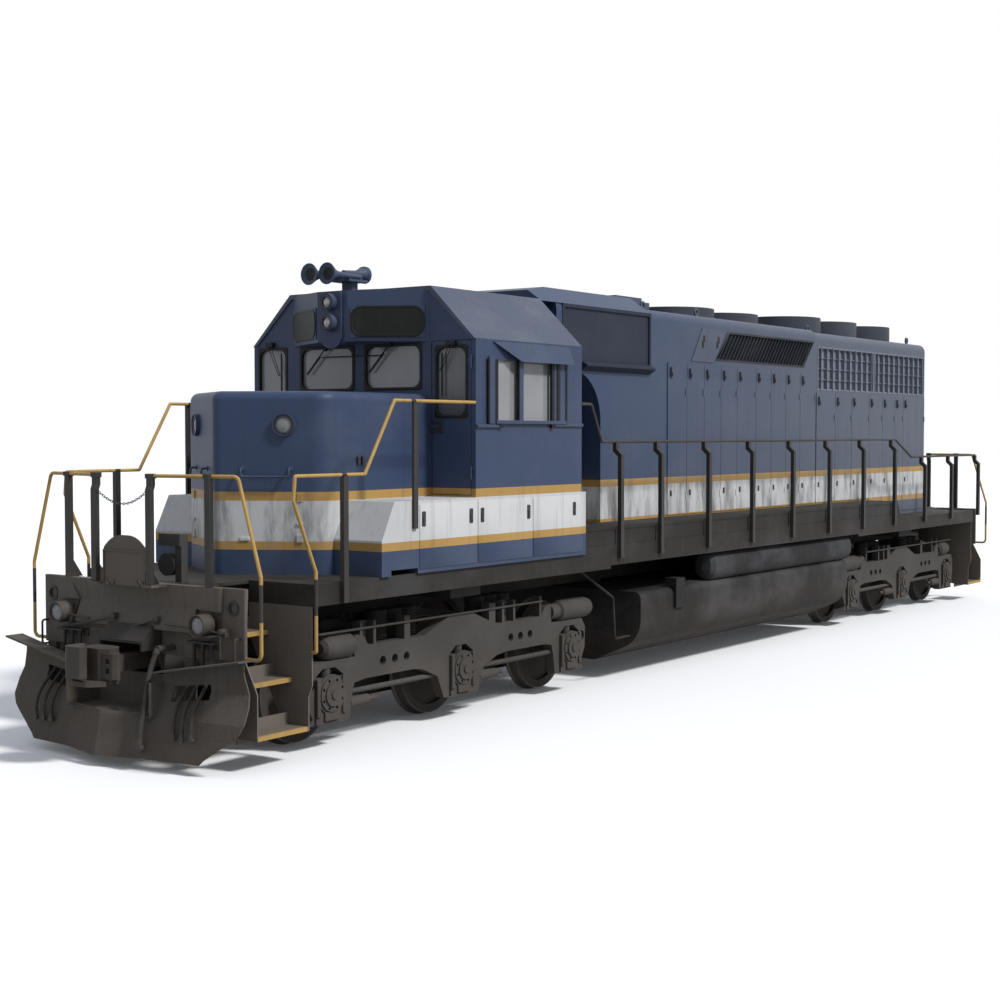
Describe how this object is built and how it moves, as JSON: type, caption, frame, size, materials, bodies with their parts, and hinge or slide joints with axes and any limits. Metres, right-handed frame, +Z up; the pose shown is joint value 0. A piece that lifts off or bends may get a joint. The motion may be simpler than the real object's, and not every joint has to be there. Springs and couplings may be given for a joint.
{
  "type": "diesel locomotive",
  "caption": "Low-nosed diesel-electric road locomotive with a full cab, long hood, roof fans and swivelling six-wheel bogies on standard-gauge wheelsets.",
  "frame": {"origin": "midway between the two bogie pivots, on the centre line, at the foot of the wheel flanges", "axes": "+X towards the cab end (the front), +Y to the locomotive's left, +Z up"},
  "size_m": [20.36, 3.3046, 4.8338],
  "materials": {
    "blue_paint": "weathered satin blue",
    "roof_paint": "sooty dark blue",
    "frame_paint": "dusty dark brown-grey",
    "gold_paint": "satin gold",
    "tank_paint": "dusty dark grey",
    "grille_steel": "dull blue-grey",
    "bogie_cast": "dusty dark grey casting",
    "cast_grey": "plain grey",
    "wheel_steel": "brown-grey with bright treads",
    "coupler_steel": "rusty brown",
    "fan_aluminium": "dull",
    "lamp_metal": "dull silver",
    "bare_steel": "dull",
    "cab_grey": "matt grey",
    "hose_rubber": "matt",
    "window_glass": "tinted, dusty"
  },
  "bodies": {
    "carbody": {"underframe": "frame_paint", "end_plates": "frame_paint", "end_stairs": "frame_paint", "snow_plough": "frame_paint", "nose_hood": "blue_paint", "equipment_boxes": "blue_paint", "cab_body": "blue_paint", "cab_roof": "roof_paint", "window_panes": "window_glass", "number_board_housing": "blue_paint", "lamps": "lamp_metal", "sunshades": "blue_paint", "cab_fittings": "cab_grey", "equipment_hood": "blue_paint", "engine_hood": "blue_paint", "radiator_hood": "blue_paint", "air_intakes": "blue_paint", "brake_grilles": "grille_steel", "radiator_screens": "grille_steel", "hood_doors": "blue_paint", "fan_housings": "roof_paint", "roof_fittings": "roof_paint", "engine_block": "cast_grey", "side_handrails": "frame_paint", "end_handrails": "gold_paint", "gate_chain": "bare_steel", "fuel_tank": "tank_paint", "air_reservoirs": "tank_paint", "horns": "lamp_metal", "draft_boxes": "frame_paint", "platform_fittings": "frame_paint", "control_hoses_left": "hose_rubber", "control_hoses_right": "hose_rubber", "brake_hose": "hose_rubber", "hose_couplings": "bare_steel"},
    "front_door": {"front_door": "blue_paint"},
    "rear_door": {"rear_door": "blue_paint"},
    "coupler_front": {"coupler_front": "coupler_steel"},
    "coupler_rear": {"coupler_rear": "coupler_steel"},
    "drop_plate_front": {"drop_plate_front": "frame_paint"},
    "drop_plate_rear": {"drop_plate_rear": "frame_paint"},
    "fan_1": {"fan_1": "fan_aluminium"},
    "fan_2": {"fan_2": "fan_aluminium"},
    "fan_3": {"fan_3": "fan_aluminium"},
    "fan_4": {"fan_4": "fan_aluminium"},
    "fan_5": {"fan_5": "fan_aluminium"},
    "front_bogie": {"front_bogie_frame": "bogie_cast", "front_bogie_journal_boxes": "bogie_cast", "front_bogie_brake_gear": "bogie_cast", "front_bogie_traction_motors": "cast_grey"},
    "rear_bogie": {"rear_bogie_frame": "bogie_cast", "rear_bogie_journal_boxes": "bogie_cast", "rear_bogie_brake_gear": "bogie_cast", "rear_bogie_traction_motors": "cast_grey"},
    "wheelset_1": {"wheelset_1": "wheel_steel"},
    "wheelset_2": {"wheelset_2": "wheel_steel"},
    "wheelset_3": {"wheelset_3": "wheel_steel"},
    "wheelset_4": {"wheelset_4": "wheel_steel"},
    "wheelset_5": {"wheelset_5": "wheel_steel"},
    "wheelset_6": {"wheelset_6": "wheel_steel"}
  },
  "joints": [
    {"name": "front_bogie_swing", "type": "hinge", "parent": "carbody", "child": "front_bogie", "pos_m": [6.096, 0, 1], "axis": [0, 0, 1], "range_deg": [-3, 3]},
    {"name": "rear_bogie_swing", "type": "hinge", "parent": "carbody", "child": "rear_bogie", "pos_m": [-6.096, 0, 1], "axis": [0, 0, 1], "range_deg": [-3, 3]},
    {"name": "wheelset_1_roll", "type": "hinge", "parent": "front_bogie", "child": "wheelset_1", "pos_m": [8.166, 0, 0.536], "axis": [0, 1, 0], "continuous": true},
    {"name": "wheelset_2_roll", "type": "hinge", "parent": "front_bogie", "child": "wheelset_2", "pos_m": [6.096, 0, 0.536], "axis": [0, 1, 0], "continuous": true},
    {"name": "wheelset_3_roll", "type": "hinge", "parent": "front_bogie", "child": "wheelset_3", "pos_m": [4.026, 0, 0.536], "axis": [0, 1, 0], "continuous": true},
    {"name": "wheelset_4_roll", "type": "hinge", "parent": "rear_bogie", "child": "wheelset_4", "pos_m": [-4.026, 0, 0.536], "axis": [0, 1, 0], "continuous": true},
    {"name": "wheelset_5_roll", "type": "hinge", "parent": "rear_bogie", "child": "wheelset_5", "pos_m": [-6.096, 0, 0.536], "axis": [0, 1, 0], "continuous": true},
    {"name": "wheelset_6_roll", "type": "hinge", "parent": "rear_bogie", "child": "wheelset_6", "pos_m": [-8.166, 0, 0.536], "axis": [0, 1, 0], "continuous": true},
    {"name": "fan_1_spin", "type": "hinge", "parent": "carbody", "child": "fan_1", "pos_m": [-0.37, 0, 4.7], "axis": [0, 0, 1], "continuous": true},
    {"name": "fan_2_spin", "type": "hinge", "parent": "carbody", "child": "fan_2", "pos_m": [-1.73, 0, 4.7], "axis": [0, 0, 1], "continuous": true},
    {"name": "fan_3_spin", "type": "hinge", "parent": "carbody", "child": "fan_3", "pos_m": [-3.93, 0, 4.7], "axis": [0, 0, 1], "continuous": true},
    {"name": "fan_4_spin", "type": "hinge", "parent": "carbody", "child": "fan_4", "pos_m": [-5.345, 0, 4.7], "axis": [0, 0, 1], "continuous": true},
    {"name": "fan_5_spin", "type": "hinge", "parent": "carbody", "child": "fan_5", "pos_m": [-6.76, 0, 4.7], "axis": [0, 0, 1], "continuous": true},
    {"name": "front_door_hinge", "type": "hinge", "parent": "carbody", "child": "front_door", "pos_m": [6.294, 1.509, 3.1], "axis": [0, 0, 1], "range_deg": [0, 75]},
    {"name": "rear_door_hinge", "type": "hinge", "parent": "carbody", "child": "rear_door", "pos_m": [4.266, -1.509, 3.1], "axis": [0, 0, 1], "range_deg": [0, 75]},
    {"name": "coupler_front_swing", "type": "hinge", "parent": "carbody", "child": "coupler_front", "pos_m": [9.23, 0, 0.904], "axis": [0, 0, 1], "range_deg": [-7, 7]},
    {"name": "coupler_rear_swing", "type": "hinge", "parent": "carbody", "child": "coupler_rear", "pos_m": [-9.23, 0, 0.904], "axis": [0, 0, 1], "range_deg": [-7, 7]},
    {"name": "drop_plate_front_hinge", "type": "hinge", "parent": "carbody", "child": "drop_plate_front", "pos_m": [9.575, 0, 1.614], "axis": [0, 1, 0], "range_deg": [0, 90]},
    {"name": "drop_plate_rear_hinge", "type": "hinge", "parent": "carbody", "child": "drop_plate_rear", "pos_m": [-9.575, 0, 1.614], "axis": [0, -1, 0], "range_deg": [0, 90]}
  ]
}
